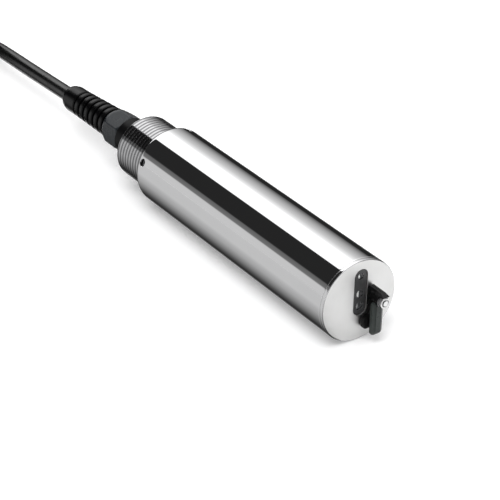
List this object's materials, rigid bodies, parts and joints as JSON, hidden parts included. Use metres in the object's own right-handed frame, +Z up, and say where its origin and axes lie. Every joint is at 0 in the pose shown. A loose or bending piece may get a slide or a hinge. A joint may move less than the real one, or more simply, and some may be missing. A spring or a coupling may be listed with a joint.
{
  "type": "water quality probe",
  "caption": "Immersion turbidity probe: steel tube with a wiped optical face, threaded rear head, gland, ribbed strain relief and a cable in a tied hank with a round plug.",
  "frame": {"origin": "on the plane that the probe lies on, under the middle of the probe without its free cable", "axes": "+X along the probe towards the sensing face, +Z up"},
  "size_m": [0.809, 0.1346, 0.1098],
  "materials": {
    "polished_steel": "polished stainless steel, turned",
    "satin_steel": "fine satin face",
    "bright_steel": "bright small hardware",
    "bracket_metal": "plain machined",
    "bronze": "sintered, plain",
    "motor_metal": "plated can",
    "window_black": "glossy black",
    "window_glass": "clear, slightly crowned",
    "optics_black": "matt black",
    "lamp_resin": "clear resin",
    "sensor_resin": "dark filter resin",
    "seal_rubber": "matt rubber",
    "wiper_black": "satin black plastic",
    "wiper_rubber": "black rubber",
    "wiper_grey": "satin dark grey-green plastic",
    "gland_black": "black plastic",
    "gland_grey": "satin slate-grey plastic",
    "boot_rubber": "satin black rubber",
    "cable_jacket": "satin black jacket",
    "tie_fabric": "hook-and-loop strap",
    "board_green": "circuit board",
    "board_plastic": "moulded",
    "lead_insulation": "insulated wire",
    "contact_gold": "gold plated"
  },
  "bodies": {
    "probe": {"housing_tube": "polished_steel", "front_cap": "satin_steel", "cap_seal": "seal_rubber", "window_plate": "window_black", "window_gasket": "seal_rubber", "lamp_window": "window_glass", "detector_windows": "window_glass", "optics_block": "optics_black", "lamp": "lamp_resin", "photodiodes": "sensor_resin", "shaft_bush": "bronze", "shaft_seal": "seal_rubber", "motor_bracket": "bracket_metal", "bracket_screws": "bright_steel", "wiper_gearbox": "motor_metal", "wiper_motor": "motor_metal", "board_carrier": "board_plastic", "main_board": "board_green", "board_parts": "board_plastic", "inner_leads": "lead_insulation", "rear_head": "polished_steel", "head_seals": "seal_rubber", "set_screws": "bright_steel", "gland_body": "gland_black", "gland_seal": "seal_rubber", "gland_nut": "gland_grey", "cable_entry": "cable_jacket", "strain_boot": "boot_rubber", "cable_run": "cable_jacket", "cable_hank": "cable_jacket", "hank_ties": "tie_fabric", "cable_tail": "cable_jacket", "plug_boot": "boot_rubber", "plug_body": "gland_black", "plug_insert": "gland_black", "plug_contacts": "contact_gold", "plug_seal": "seal_rubber"},
    "wiper": {"wiper_shaft": "bright_steel", "drive_shaft": "bright_steel", "shaft_coupling": "bronze", "wiper_arm": "wiper_black", "wiper_lip": "wiper_rubber", "blade_holder": "wiper_grey", "wiper_washer": "bright_steel", "wiper_nut": "bright_steel"},
    "plug_collar": {"plug_ring": "bright_steel"}
  },
  "joints": [
    {"name": "wiper_turn", "type": "hinge", "parent": "probe", "child": "wiper", "pos_m": [0.179, 0.0089, 0.0331], "axis": [-1, 0, 0], "range_deg": [0, 180]},
    {"name": "plug_ring_turn", "type": "hinge", "parent": "probe", "child": "plug_collar", "pos_m": [-0.5, 0.012, 0.0978], "axis": [1, 0, 0], "continuous": true}
  ]
}
